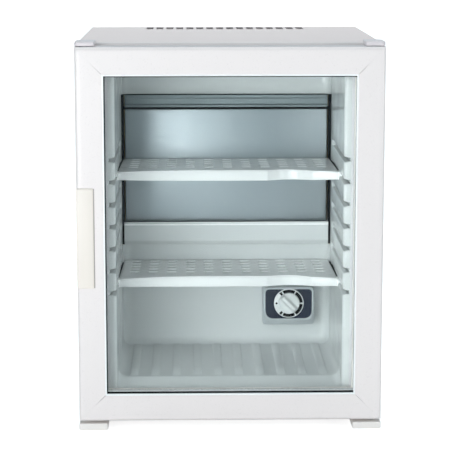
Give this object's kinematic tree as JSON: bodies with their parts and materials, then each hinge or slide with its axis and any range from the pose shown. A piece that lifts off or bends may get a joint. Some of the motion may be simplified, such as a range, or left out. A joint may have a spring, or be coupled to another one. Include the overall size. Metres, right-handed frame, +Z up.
{
  "type": "glass door minibar fridge",
  "caption": "Compact absorption refrigerator with a framed glass door hinged on the right, sliding slotted shelves, an inner thermostat dial and a rear cooling unit.",
  "frame": {"origin": "middle of the footprint, on the floor under the feet", "axes": "+Z up, the door faces -Y, +X to the right as seen from the front"},
  "size_m": [0.405, 0.422, 0.5173],
  "materials": {
    "white_enamel": "smooth satin powder coat",
    "white_coated_profile": "extruded, smooth, satin",
    "white_plastic": "moulded, satin",
    "ivory_plastic": "moulded, satin",
    "liner_plastic": "thermoformed, glossy",
    "shelf_plastic": "moulded, semi-gloss",
    "foam": "rigid foam",
    "glass": "clear float glass",
    "dark_seal": "matt black",
    "gasket": "soft vinyl",
    "evaporator_aluminium": "anodised, satin",
    "dark_face": "moulded, matt",
    "dial_plastic": "moulded, satin",
    "steel": "plated",
    "black_pipe": "black stove enamel",
    "galvanised": "galvanised",
    "black_plastic": "moulded, matt"
  },
  "bodies": {
    "cabinet": {"absorber_coil": "black_pipe", "absorber_vessel": "black_pipe", "back_sheet": "galvanised", "base_panel": "white_enamel", "boiler_jacket": "galvanised", "boiler_tube": "black_pipe", "condenser": "black_pipe", "cord_gland": "black_plastic", "drain_tube": "black_plastic", "drip_gutter": "liner_plastic", "evaporator_cover_strip": "evaporator_aluminium", "evaporator_plate": "evaporator_aluminium", "evaporator_tube": "galvanised", "foam_insulation": "foam", "heat_exchanger": "black_pipe", "heater_cartridge": "steel", "inner_liner": "liner_plastic", "left_corner_cap": "white_plastic", "left_front_foot": "white_plastic", "left_rear_foot": "white_plastic", "left_side_panel": "white_enamel", "lower_hinge_pin": "steel", "lower_unit_strap": "galvanised", "right_corner_cap": "white_plastic", "right_front_foot": "white_plastic", "right_rear_foot": "white_plastic", "right_side_panel": "white_enamel", "terminal_box": "black_plastic", "thermostat_face": "dark_face", "thermostat_housing": "liner_plastic", "top_panel": "white_enamel", "upper_hinge_bracket": "steel", "upper_hinge_pin": "steel", "upper_unit_strap": "galvanised"},
    "door": {"door_profile_bottom": "white_coated_profile", "door_profile_left": "white_coated_profile", "door_profile_right": "white_coated_profile", "door_profile_top": "white_coated_profile", "outer_pane": "glass", "inner_pane": "glass", "glazing_spacer": "dark_seal", "door_inner_frame": "white_plastic", "door_gasket": "gasket", "door_handle": "ivory_plastic", "lower_hinge_bush": "white_plastic", "upper_hinge_bush": "white_plastic"},
    "dial": {"thermostat_dial": "dial_plastic", "thermostat_shaft": "steel"},
    "upper_shelf_body": {"upper_shelf": "shelf_plastic"},
    "lower_shelf_body": {"lower_shelf": "shelf_plastic"}
  },
  "joints": [
    {"name": "door_hinge", "type": "hinge", "parent": "cabinet", "child": "door", "pos_m": [0.19, -0.189, 0.014], "axis": [0, 0, 1], "range_deg": [0, 120]},
    {"name": "thermostat_turn", "type": "hinge", "parent": "cabinet", "child": "dial", "pos_m": [0.0908, 0.0304, 0.1207], "axis": [0, -1, 0], "range_deg": [-135, 135]},
    {"name": "upper_shelf_slide", "type": "slide", "parent": "cabinet", "child": "upper_shelf_body", "axis": [0, -1, 0], "range_m": [0, 0.095]},
    {"name": "lower_shelf_slide", "type": "slide", "parent": "cabinet", "child": "lower_shelf_body", "axis": [0, -1, 0], "range_m": [0, 0.095]}
  ]
}
